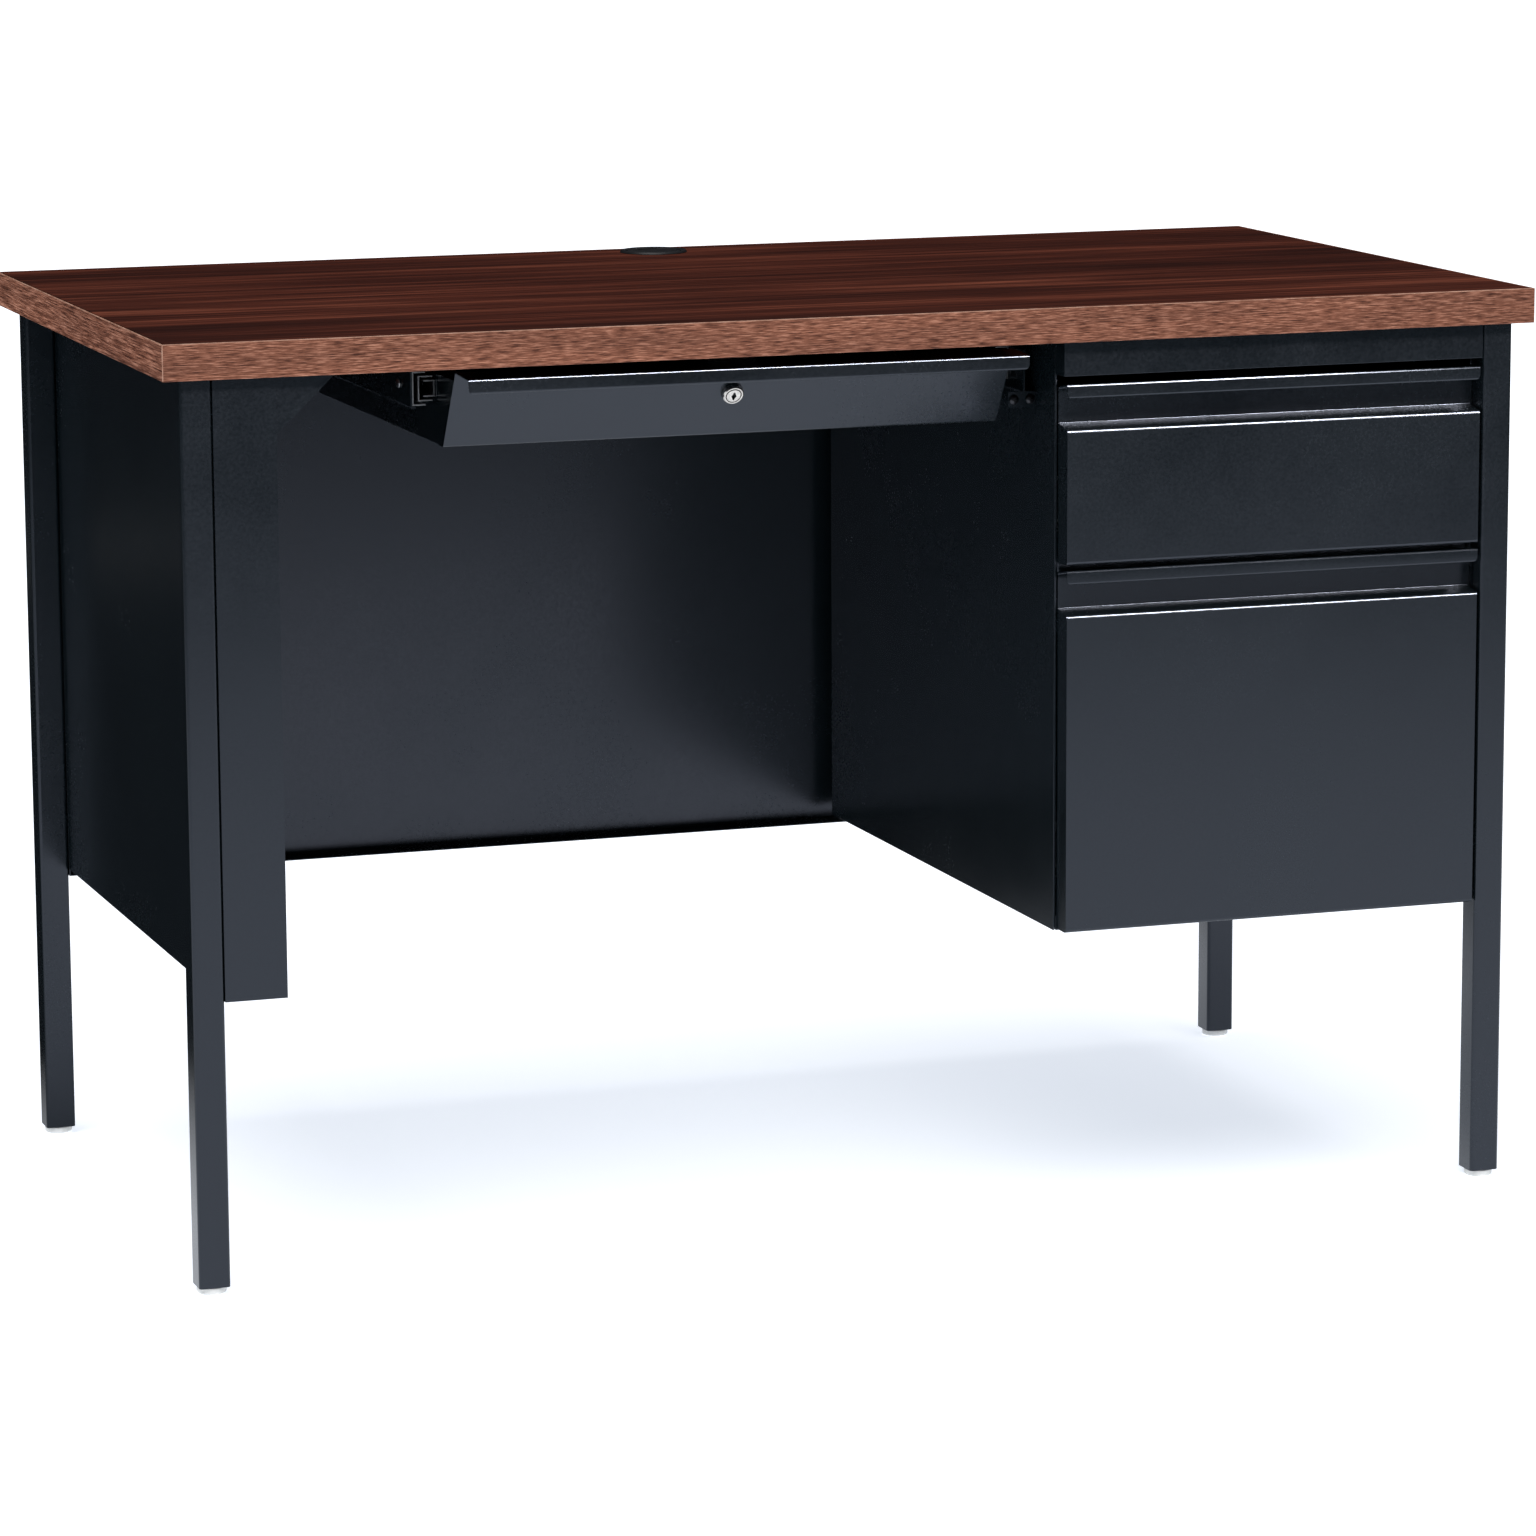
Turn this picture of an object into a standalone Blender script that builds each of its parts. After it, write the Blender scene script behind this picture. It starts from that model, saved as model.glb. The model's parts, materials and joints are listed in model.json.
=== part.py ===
"""A steel computer desk: laminate top, tube legs, a drawer pedestal and a pull-out keyboard tray.

+X runs to the sitter's right, +Y to the back and +Z up, in metres. The origin is on the floor
under the middle of the top.
"""

import math

import bmesh
import bpy
from mathutils import Matrix, Vector

# Driving dimensions
DESK_WIDTH = 1.1494
DESK_DEPTH = 0.6096
DESK_HEIGHT = 0.7493
TOP_THICKNESS = 0.0286
EDGE_BAND_THICKNESS = 0.0020
SHEET = 0.0010
HEAVY_SHEET = 0.0015
FIT = 0.0003
BEND_RADIUS = 0.0016
BEND_STEPS = 3

# Legs and glides
LEG_SIZE = 0.0254
LEG_WALL = 0.0012
LEG_CORNER = 0.0030
LEG_CORNER_STEPS = 4
GLIDE_HEIGHT = 0.0060
GLIDE_RADIUS = 0.0118
GLIDE_STEM_RADIUS = 0.0085
GLIDE_STEM_LENGTH = 0.0120
GLIDE_EDGE = 0.0013
SIDE_OVERHANG = 0.0150
FRONT_OVERHANG = 0.0100
BACK_OVERHANG = 0.0120

# Panels
END_PANEL_THICKNESS = 0.0500
END_PANEL_BOTTOM = 0.2340
GUSSET_REACH = 0.0470
GUSSET_DROP = 0.0450
GUSSET_FLANGE = 0.0150
MODESTY_BOTTOM = 0.2280

# Pedestal
PEDESTAL_WIDTH = 0.3693
PEDESTAL_BOTTOM = 0.2360
PEDESTAL_FLANGE = 0.0120
FRONT_DEPTH = 0.0207
HEADER_HEIGHT = 0.0280
HEM = 0.0080
MID_RAIL_HEIGHT = 0.0130
MID_RAIL_DEPTH = 0.0150

# Drawer fronts, listed from the top of the lip down
DRAWER_SIDE_GAP = 0.0027
LIP_HEIGHT = 0.0116
LIP_HEM = 0.0050
LIP_CORNER = 0.0045
LIP_FALL = 0.0040
LEDGE_FALL = 0.0038
RECESS_HEIGHT = 0.0380
BOX_FRONT_TOP = 0.6861
BOX_FRONT_BOTTOM = 0.5396
FILE_FRONT_TOP = 0.5353
FILE_FRONT_BOTTOM = 0.2374

# Drawer bodies
DRAWER_BACK = 0.2150
BOX_BODY = (0.5490, 0.6420)
FILE_BODY = (0.2540, 0.4960)
HANGER_HEIGHT = 0.0160
HANGER_INSET = 0.0200

# Keyboard tray
TRAY_LEFT = -0.3307
TRAY_RIGHT = 0.1347
TRAY_LIP_TOP = 0.7111
TRAY_FLANGE_BACK = (-0.2568, 0.7129)
TRAY_SLOPE_FOOT = (-0.2188, 0.6507)
TRAY_BODY_FRONT = -0.2060
TRAY_BODY_BACK = 0.1650
TRAY_BODY_TOP = 0.7060

# Slides: height, thickness, front and length
DRAWER_SLIDE = {"height": 0.0450, "depth": 0.0127, "front": -0.2620, "length": 0.4980}
TRAY_SLIDE = {"height": 0.0270, "depth": 0.0185, "front": -0.1990, "length": 0.3500}
BOX_SLIDE_HEIGHT = 0.5850
FILE_SLIDE_HEIGHT = 0.3000
TRAY_SLIDE_HEIGHT = 0.6945
SLIDE_SHEET = 0.0012
BALL_GAP = 0.0022
# Where each channel of a slide has its web and its flange tips, as shares of the slide's depth
OUTER_CHANNEL = (0.00, 0.60)
MIDDLE_CHANNEL = (0.25, 0.90)
INNER_CHANNEL = (1.00, 0.50)

# Brackets that carry the tray slides
BRACKET_LENGTH = 0.3600
LEFT_BRACKET_BOTTOM = 0.6790
LEFT_BRACKET_FOOT = 0.0045
LEFT_BRACKET_HEAD = 0.0230
RIGHT_BRACKET_FRONT = -0.2320
RIGHT_BRACKET_SHELF = 0.6743
RIGHT_BRACKET_DROP = 0.0190
RIGHT_TAB_WIDTH = 0.0237
RIGHT_TAB_HEIGHT = 0.0125
SCREW_RADIUS = 0.0040
SCREW_HEAD = 0.0024
SCREW_PROFILE = ((0, 0), (1, 0), (1, 0.35), (0.8, 0.8), (0.4, 1), (0, 1))
LEFT_SCREW_SPOT = (-0.1680, 0.6960)
RIGHT_SCREW_INSETS = {"inner": 0.0190, "outer": 0.0050}

# Lock
LOCK_RADIUS = 0.0087
LOCK_PLUG_RADIUS = 0.0060
LOCK_PROUD = 0.0050
LOCK_LENGTH = 0.0180
LOCK_ALONG_SLOPE = 0.43
KEYWAY_HALF_WIDTH = 0.0008
KEYWAY_HALF_HEIGHT = 0.0033
CAM_REACH = 0.0180
CAM_HALF_WIDTH = 0.0040
CAM_THICKNESS = 0.0020
STRIKE_WIDTH = 0.0400
STRIKE_FACE = -0.2410
STRIKE_BOTTOM = 0.7085

# Cable grommet
GROMMET_RADIUS = 0.0295
GROMMET_SLEEVE_RADIUS = 0.0265
GROMMET_BORE_RADIUS = 0.0245
GROMMET_RIM = 0.0020
GROMMET_FROM_BACK = 0.0400
CAP_THICKNESS = 0.0022
CAP_SKIRT = 0.0090
CABLE_NOTCH_WIDTH = 0.0180
CABLE_NOTCH_DEPTH = 0.0140

# Levels and planes that several pieces share
UNDERSIDE = DESK_HEIGHT - TOP_THICKNESS
FRAME_TOP = UNDERSIDE - FIT
LEG_OUT = DESK_WIDTH / 2 - SIDE_OVERHANG
LEG_IN = LEG_OUT - LEG_SIZE
PANEL_OUT = LEG_IN - FIT
FACE = -DESK_DEPTH / 2 + FRONT_OVERHANG
REAR = DESK_DEPTH / 2 - BACK_OVERHANG
MODESTY_FRONT = REAR - LEG_SIZE
CARCASS_FRONT = FACE + FRONT_DEPTH + FIT
CARCASS_BACK = MODESTY_FRONT - FIT
PEDESTAL_LEFT = PANEL_OUT - PEDESTAL_WIDTH
PEDESTAL_RIGHT = PANEL_OUT
DRAWER_LEFT = PEDESTAL_LEFT + DRAWER_SIDE_GAP
DRAWER_RIGHT = PEDESTAL_RIGHT - DRAWER_SIDE_GAP
SLIDE_TO_WALL = SHEET + FIT
BODY_LEFT = PEDESTAL_LEFT + SLIDE_TO_WALL + DRAWER_SLIDE["depth"] + FIT
BODY_RIGHT = PEDESTAL_RIGHT - SLIDE_TO_WALL - DRAWER_SLIDE["depth"] - FIT

MATERIALS = {
    "laminate": ((0.062, 0.020, 0.013), 0.38, 0.0),
    "edge_band": ((0.230, 0.090, 0.060), 0.50, 0.0),
    "steel_enamel": ((0.014, 0.017, 0.021), 0.36, 0.0),
    "slide_steel": ((0.350, 0.360, 0.370), 0.35, 0.9),
    "nickel": ((0.620, 0.600, 0.560), 0.25, 1.0),
    "white_nylon": ((0.800, 0.800, 0.780), 0.45, 0.0),
    "black_plastic": ((0.012, 0.012, 0.013), 0.45, 0.0),
}

# Shapes on these parents are modelled in the parent's own tilted space
TILTED_PARENTS = {"lock_axis"}


def clear_scene():
    for item in list(bpy.data.objects):
        bpy.data.objects.remove(item, do_unlink=True)


def make_materials():
    for name, (colour, roughness, metallic) in MATERIALS.items():
        material = bpy.data.materials.new(name)
        material.use_nodes = True
        shader = material.node_tree.nodes["Principled BSDF"]
        shader.inputs["Base Color"].default_value = (*colour, 1.0)
        shader.inputs["Roughness"].default_value = roughness
        shader.inputs["Metallic"].default_value = metallic


def make_empty(name, location, rotation=None):
    empty = bpy.data.objects.new(name, None)
    empty.empty_display_size = 0.03
    frame = rotation.to_4x4() if rotation else Matrix.Identity(4)
    empty.matrix_world = Matrix.Translation(location) @ frame
    bpy.context.collection.objects.link(empty)
    return empty


def add_object(name, shape, material, parent=None, smooth=False):
    """Turns a bmesh in world space, or in its parent's space, into an object with its origin centred."""
    bmesh.ops.recalc_face_normals(shape, faces=shape.faces)
    corners = [vertex.co for vertex in shape.verts]
    low = Vector(min(point[axis] for point in corners) for axis in range(3))
    high = Vector(max(point[axis] for point in corners) for axis in range(3))
    centre = (low + high) / 2
    bmesh.ops.translate(shape, verts=shape.verts, vec=-centre)
    mesh = bpy.data.meshes.new(name)
    shape.to_mesh(mesh)
    shape.free()
    if smooth:
        mesh.shade_smooth()
        mesh.set_sharp_from_angle(angle=math.radians(35))
    mesh.materials.append(bpy.data.materials[material])
    item = bpy.data.objects.new(name, mesh)
    bpy.context.collection.objects.link(item)
    item.location = centre
    if parent:
        item.parent = parent
        if parent.name not in TILTED_PARENTS:
            item.location = centre - parent.location
    return item


def combine(target, other, operation):
    """Joins another closed object to the target, or cuts it away, and removes it."""
    modifier = target.modifiers.new(other.name, "BOOLEAN")
    modifier.operation = operation
    modifier.object = other
    bpy.context.view_layer.update()
    graph = bpy.context.evaluated_depsgraph_get()
    mesh = bpy.data.meshes.new_from_object(target.evaluated_get(graph))
    target.modifiers.clear()
    target.data = mesh
    bpy.data.objects.remove(other, do_unlink=True)


def block(low, high):
    shape = bmesh.new()
    bmesh.ops.create_cube(shape, size=1.0)
    size = Vector(high) - Vector(low)
    bmesh.ops.scale(shape, verts=shape.verts, vec=size)
    bmesh.ops.translate(shape, verts=shape.verts, vec=(Vector(low) + Vector(high)) / 2)
    return shape


def pan(low, high, open_side, wall):
    """A folded sheet box with one open side, such as '+Y'."""
    shape = block(low, high)
    axis = "XYZ".index(open_side[1])
    normal = Vector((0, 0, 0))
    normal[axis] = 1 if open_side[0] == "+" else -1
    shape.normal_update()
    mouth = next(face for face in shape.faces if face.normal.dot(normal) > 0.9)
    bmesh.ops.inset_region(shape, faces=[mouth], thickness=wall, use_even_offset=True)
    depth = abs(high[axis] - low[axis]) - wall
    floor = bmesh.ops.extrude_discrete_faces(shape, faces=[mouth])["faces"][0]
    bmesh.ops.translate(shape, verts=floor.verts, vec=-normal * depth)
    return shape


def prism(outline, axis, start, end):
    """Pushes an outline of (a, b) points along X, Y or Z. The points are the other two axes in order."""
    spots = {
        "X": lambda along, a, b: (along, a, b),
        "Y": lambda along, a, b: (a, along, b),
        "Z": lambda along, a, b: (a, b, along),
    }[axis]
    shape = bmesh.new()
    near = [shape.verts.new(spots(start, a, b)) for a, b in outline]
    far = [shape.verts.new(spots(end, a, b)) for a, b in outline]
    shape.faces.new(near)
    shape.faces.new(reversed(far))
    for index in range(len(outline)):
        after = (index + 1) % len(outline)
        shape.faces.new((near[index], near[after], far[after], far[index]))
    return shape


def turned(profile, segments, closed=False):
    """Turns (radius, height) points about Z. A closed profile makes a ring."""
    shape = bmesh.new()
    points = [shape.verts.new((radius, 0, height)) for radius, height in profile]
    pairs = list(zip(points, points[1:]))
    if closed:
        pairs.append((points[-1], points[0]))
    edges = [shape.edges.new(pair) for pair in pairs]
    bmesh.ops.spin(
        shape,
        geom=points + edges,
        cent=(0, 0, 0),
        axis=(0, 0, 1),
        angle=2 * math.pi,
        steps=segments,
        use_merge=True,
    )
    bmesh.ops.remove_doubles(shape, verts=shape.verts, dist=1e-6)
    return shape


def bent_strip(corners, thickness, radius=BEND_RADIUS):
    """The outline of a bent sheet. The corners run along one face, and the sheet lies to their right."""
    corners = [Vector(corner) for corner in corners]
    runs = [(after - before).normalized() for before, after in zip(corners, corners[1:])]
    normals = [Vector((run.y, -run.x)) for run in runs]
    face = [corners[0]]
    back = [corners[0] + normals[0] * thickness]
    for index in range(1, len(corners) - 1):
        turn = normals[index - 1].angle_signed(normals[index])
        tangent = radius * math.tan(abs(turn) / 2)
        side = 1 if turn > 0 else -1
        centre = corners[index] - runs[index - 1] * tangent + normals[index - 1] * side * radius
        for step in range(BEND_STEPS + 1):
            spun = Matrix.Rotation(-turn * step / BEND_STEPS, 2) @ normals[index - 1]
            point = centre - spun * side * radius
            face.append(point)
            back.append(point + spun * thickness)
    face.append(corners[-1])
    back.append(corners[-1] + normals[-1] * thickness)
    return [tuple(point) for point in face + back[::-1]]


def rounded_square(half, corner, steps):
    points = []
    for quarter in range(4):
        middle = Matrix.Rotation(quarter * math.pi / 2, 2) @ Vector((half - corner, half - corner))
        for step in range(steps + 1):
            angle = (quarter + step / steps) * math.pi / 2
            points.append(middle + corner * Vector((math.cos(angle), math.sin(angle))))
    return points


def square_tube(centre, bottom, top):
    """An open tube of square section with rounded corners."""
    shape = bmesh.new()
    outer = rounded_square(LEG_SIZE / 2, LEG_CORNER, LEG_CORNER_STEPS)
    inner = rounded_square(LEG_SIZE / 2 - LEG_WALL, LEG_CORNER - LEG_WALL, LEG_CORNER_STEPS)
    rings = []
    for outline, height in ((outer, bottom), (outer, top), (inner, top), (inner, bottom)):
        spots = [Vector(centre) + point for point in outline]
        rings.append([shape.verts.new((*spot, height)) for spot in spots])
    count = len(outer)
    for here, there in zip(rings, rings[1:] + rings[:1]):
        for index in range(count):
            after = (index + 1) % count
            shape.faces.new((here[index], here[after], there[after], there[index]))
    return shape


def make_top():
    half_width = DESK_WIDTH / 2
    half_depth = DESK_DEPTH / 2
    inset = EDGE_BAND_THICKNESS + FIT
    board = add_object(
        "desktop_board",
        block(
            (-half_width + inset, -half_depth + inset, UNDERSIDE),
            (half_width - inset, half_depth - inset, DESK_HEIGHT),
        ),
        "laminate",
    )
    hole = turned(
        [
            (0, UNDERSIDE - SHEET),
            (GROMMET_SLEEVE_RADIUS + FIT, UNDERSIDE - SHEET),
            (GROMMET_SLEEVE_RADIUS + FIT, DESK_HEIGHT + SHEET),
            (0, DESK_HEIGHT + SHEET),
        ],
        40,
    )
    grommet = Vector((0, half_depth - GROMMET_FROM_BACK, 0))
    bmesh.ops.translate(hole, verts=hole.verts, vec=grommet)
    combine(board, add_object("cable_hole", hole, "laminate"), "DIFFERENCE")

    band = block((-half_width, -half_depth, UNDERSIDE), (half_width, half_depth, DESK_HEIGHT))
    band.normal_update()
    caps = [face for face in band.faces if abs(face.normal.z) > 0.9]
    bmesh.ops.inset_individual(band, faces=caps, thickness=EDGE_BAND_THICKNESS)
    bmesh.ops.bridge_loops(band, edges=[edge for cap in caps for edge in cap.edges])
    bmesh.ops.delete(band, geom=caps, context="FACES_ONLY")
    add_object("edge_band", band, "edge_band")

    sleeve = turned(
        [
            (GROMMET_BORE_RADIUS, UNDERSIDE),
            (GROMMET_SLEEVE_RADIUS, UNDERSIDE),
            (GROMMET_SLEEVE_RADIUS, DESK_HEIGHT + FIT),
            (GROMMET_RADIUS, DESK_HEIGHT + FIT),
            (GROMMET_RADIUS - GROMMET_RIM / 2, DESK_HEIGHT + GROMMET_RIM),
            (GROMMET_SLEEVE_RADIUS, DESK_HEIGHT + GROMMET_RIM),
            (GROMMET_BORE_RADIUS, DESK_HEIGHT + GROMMET_RIM / 2),
        ],
        40,
        closed=True,
    )
    bmesh.ops.translate(sleeve, verts=sleeve.verts, vec=grommet)
    add_object("grommet_sleeve", sleeve, "black_plastic", smooth=True)

    cap_axis = make_empty("grommet_cap_axis", grommet + Vector((0, 0, DESK_HEIGHT)))
    radius = GROMMET_BORE_RADIUS - FIT
    top = DESK_HEIGHT + GROMMET_RIM / 2
    cap = turned(
        [
            (0, top),
            (radius - SHEET, top),
            (radius, top - SHEET),
            (radius, top - CAP_SKIRT),
            (radius - CAP_THICKNESS, top - CAP_SKIRT),
            (radius - CAP_THICKNESS, top - CAP_THICKNESS),
            (0, top - CAP_THICKNESS),
        ],
        40,
    )
    bmesh.ops.translate(cap, verts=cap.verts, vec=grommet)
    cap = add_object("grommet_cap", cap, "black_plastic", cap_axis, smooth=True)
    notch_back = grommet.y + GROMMET_RADIUS
    notch = block(
        (-CABLE_NOTCH_WIDTH / 2, notch_back - CABLE_NOTCH_DEPTH - SHEET, UNDERSIDE),
        (CABLE_NOTCH_WIDTH / 2, notch_back, DESK_HEIGHT + SHEET * 2),
    )
    combine(cap, add_object("cable_notch", notch, "black_plastic"), "DIFFERENCE")


def make_legs():
    across = LEG_OUT - LEG_SIZE / 2
    places = {
        "front_left": (-across, FACE + LEG_SIZE / 2),
        "front_right": (across, FACE + LEG_SIZE / 2),
        "rear_left": (-across, REAR - LEG_SIZE / 2),
        "rear_right": (across, REAR - LEG_SIZE / 2),
    }
    for place, (x, y) in places.items():
        leg = square_tube((x, y), GLIDE_HEIGHT, FRAME_TOP)
        add_object(f"leg_{place}", leg, "steel_enamel", smooth=True)
        foot = GLIDE_HEIGHT - FIT
        glide = turned(
            [
                (0, 0),
                (GLIDE_RADIUS - GLIDE_EDGE, 0),
                (GLIDE_RADIUS, GLIDE_EDGE),
                (GLIDE_RADIUS, foot),
                (GLIDE_STEM_RADIUS, foot),
                (GLIDE_STEM_RADIUS, foot + GLIDE_STEM_LENGTH),
                (0, foot + GLIDE_STEM_LENGTH),
            ],
            24,
        )
        bmesh.ops.translate(glide, verts=glide.verts, vec=(x, y, 0))
        add_object(f"glide_{place}", glide, "white_nylon", smooth=True)


def make_end_panel():
    outer_face = -PANEL_OUT
    inner_face = outer_face + END_PANEL_THICKNESS
    margin = SHEET + FIT
    outer = pan(
        (outer_face, FACE, END_PANEL_BOTTOM),
        (inner_face, CARCASS_BACK, FRAME_TOP),
        "+X",
        SHEET,
    )
    add_object("end_panel_outer", outer, "steel_enamel")
    cover = block(
        (inner_face - SHEET, FACE + margin, END_PANEL_BOTTOM + margin),
        (inner_face, CARCASS_BACK - margin, FRAME_TOP - margin),
    )
    add_object("end_panel_inner", cover, "steel_enamel")

    start = inner_face + FIT
    front = FACE + margin
    plate = prism(
        [
            (start, FRAME_TOP),
            (start, FRAME_TOP - GUSSET_DROP),
            (start + GUSSET_REACH, FRAME_TOP),
        ],
        "Y",
        front,
        front + HEAVY_SHEET,
    )
    gusset = add_object("corner_gusset", plate, "steel_enamel")
    foot = HEAVY_SHEET * 2
    flanges = prism(
        [
            (start, FRAME_TOP),
            (start, FRAME_TOP - GUSSET_DROP + foot),
            (start + HEAVY_SHEET, FRAME_TOP - GUSSET_DROP + foot),
            (start + HEAVY_SHEET, FRAME_TOP - HEAVY_SHEET),
            (start + GUSSET_REACH - foot, FRAME_TOP - HEAVY_SHEET),
            (start + GUSSET_REACH - foot, FRAME_TOP),
        ],
        "Y",
        front + HEAVY_SHEET / 2,
        front + GUSSET_FLANGE,
    )
    combine(gusset, add_object("gusset_flanges", flanges, "steel_enamel"), "UNION")


def make_modesty_panel():
    panel = pan(
        (-PANEL_OUT, MODESTY_FRONT, MODESTY_BOTTOM),
        (PANEL_OUT, REAR, FRAME_TOP),
        "-Y",
        SHEET,
    )
    panel = add_object("modesty_panel", panel, "steel_enamel")
    # The top flange is cut away under the grommet, so that cables pass.
    cutout = block(
        (-GROMMET_RADIUS - HEM, MODESTY_FRONT - SHEET, FRAME_TOP - PEDESTAL_FLANGE),
        (GROMMET_RADIUS + HEM, REAR - SHEET * 2, FRAME_TOP + SHEET),
    )
    combine(panel, add_object("flange_cutout", cutout, "steel_enamel"), "DIFFERENCE")


def make_pedestal():
    for side, wall, inward in (("left", PEDESTAL_LEFT, 1), ("right", PEDESTAL_RIGHT, -1)):
        # A hem doubles the front edge, and the back edge turns inward.
        corners = [
            (wall + inward * PEDESTAL_FLANGE, CARCASS_BACK),
            (wall, CARCASS_BACK),
            (wall, CARCASS_FRONT),
        ]
        if inward < 0:
            corners.reverse()
        outline = bent_strip(corners, -SHEET)
        shell = add_object(
            f"pedestal_{side}_side",
            prism(outline, "Z", PEDESTAL_BOTTOM, FRAME_TOP),
            "steel_enamel",
        )
        hem_low = min(wall + inward * SHEET / 2, wall + inward * SHEET * 2)
        hem_high = max(wall + inward * SHEET / 2, wall + inward * SHEET * 2)
        hem = block(
            (hem_low, CARCASS_FRONT, PEDESTAL_BOTTOM + SHEET),
            (hem_high, CARCASS_FRONT + HEM, FRAME_TOP - SHEET),
        )
        combine(shell, add_object("front_hem", hem, "steel_enamel"), "UNION")

    inner_left = PEDESTAL_LEFT + SHEET * 2 + FIT
    inner_right = PEDESTAL_RIGHT - SHEET * 2 - FIT
    back_face = CARCASS_BACK - SHEET - FIT
    back = pan(
        (inner_left, back_face - PEDESTAL_FLANGE, PEDESTAL_BOTTOM),
        (inner_right, back_face, FRAME_TOP),
        "-Y",
        SHEET,
    )
    add_object("pedestal_back", back, "steel_enamel")
    bottom = pan(
        (inner_left, CARCASS_FRONT, PEDESTAL_BOTTOM),
        (inner_right, back_face - PEDESTAL_FLANGE - FIT, PEDESTAL_BOTTOM + PEDESTAL_FLANGE),
        "+Z",
        SHEET,
    )
    add_object("pedestal_bottom", bottom, "steel_enamel")
    header = pan(
        (PEDESTAL_LEFT + FIT, FACE + SHEET, FRAME_TOP - HEADER_HEIGHT),
        (PEDESTAL_RIGHT - FIT, FACE + FRONT_DEPTH, FRAME_TOP),
        "+Y",
        SHEET,
    )
    add_object("pedestal_header", header, "steel_enamel")
    middle = (BOX_FRONT_BOTTOM + FILE_FRONT_TOP) / 2
    rail = pan(
        (inner_left, CARCASS_FRONT, middle - MID_RAIL_HEIGHT / 2),
        (inner_right, CARCASS_FRONT + MID_RAIL_DEPTH, middle + MID_RAIL_HEIGHT / 2),
        "+Y",
        SHEET,
    )
    add_object("pedestal_mid_rail", rail, "steel_enamel")


def round_lip_corners(front, low, high, lip_bottom):
    """Rounds the two lower corners of the lip that runs along the top of a front."""
    for x, inward in ((low, 1), (high, -1)):
        centre = Vector((x + inward * LIP_CORNER, lip_bottom + LIP_CORNER))
        outline = [(x - inward * SHEET, lip_bottom - SHEET)]
        outline.append((centre.x, lip_bottom - SHEET))
        for step in range(5):
            angle = step / 4 * math.pi / 2
            outline.append(
                (
                    centre.x - inward * LIP_CORNER * math.sin(angle),
                    centre.y - LIP_CORNER * math.cos(angle),
                )
            )
        outline.append((x - inward * SHEET, centre.y))
        cutter = prism(outline, "Y", FACE - SHEET, FACE + LIP_HEM + SHEET)
        combine(front, add_object("lip_corner", cutter, "steel_enamel"), "DIFFERENCE")


def make_drawer_front(name, top, bottom, parent):
    """A pan-shaped front with a full-width finger recess under its lip."""
    back = FACE + FRONT_DEPTH
    ledge = top - RECESS_HEIGHT
    lip_bottom = top - LIP_HEIGHT
    outline = bent_strip(
        [
            (FACE + LIP_HEM, lip_bottom),
            (FACE, lip_bottom),
            (FACE, top),
            (back, top - LIP_FALL),
            (back, ledge + LEDGE_FALL),
            (FACE + SHEET, ledge),
            (FACE + SHEET, bottom + SHEET),
            (back, bottom + SHEET),
        ],
        SHEET,
    )
    front = add_object(
        name, prism(outline, "X", DRAWER_LEFT, DRAWER_RIGHT), "steel_enamel", parent
    )
    for low, high in (
        (DRAWER_LEFT, DRAWER_LEFT + SHEET),
        (DRAWER_RIGHT - SHEET, DRAWER_RIGHT),
    ):
        cheek = prism(
            [
                (FACE + SHEET / 2, bottom + SHEET / 2),
                (FACE + SHEET / 2, ledge),
                (back, ledge + LEDGE_FALL),
                (back, bottom + SHEET / 2),
            ],
            "X",
            low,
            high,
        )
        combine(front, add_object("cheek", cheek, "steel_enamel"), "UNION")
    round_lip_corners(front, DRAWER_LEFT, DRAWER_RIGHT, lip_bottom)


def make_drawers():
    closed = Vector(((DRAWER_LEFT + DRAWER_RIGHT) / 2, FACE, 0))
    box = make_empty("box_drawer_rest", closed + Vector((0, 0, BOX_SLIDE_HEIGHT)))
    file = make_empty("file_drawer_rest", closed + Vector((0, 0, FILE_SLIDE_HEIGHT)))
    make_drawer_front("box_drawer_front", BOX_FRONT_TOP, BOX_FRONT_BOTTOM, box)
    make_drawer_front("file_drawer_front", FILE_FRONT_TOP, FILE_FRONT_BOTTOM, file)
    for name, (low, high), parent in (
        ("box_drawer_body", BOX_BODY, box),
        ("file_drawer_body", FILE_BODY, file),
    ):
        body = pan(
            (BODY_LEFT, CARCASS_FRONT, low),
            (BODY_RIGHT, DRAWER_BACK, high),
            "+Z",
            SHEET,
        )
        add_object(name, body, "steel_enamel", parent)
    top = FILE_BODY[1]
    for side, wall, inward in (("left", BODY_LEFT, 1), ("right", BODY_RIGHT, -1)):
        # The rail hooks over the drawer wall and stands up to carry hanging folders.
        low = wall + inward * (SHEET + FIT)
        high = low + inward * HEAVY_SHEET
        rail = block(
            (min(low, high), CARCASS_FRONT + HANGER_INSET, top - HANGER_HEIGHT),
            (max(low, high), DRAWER_BACK - HANGER_INSET, top + HANGER_HEIGHT / 2),
        )
        add_object(f"file_hanger_{side}", rail, "slide_steel", file)


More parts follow.
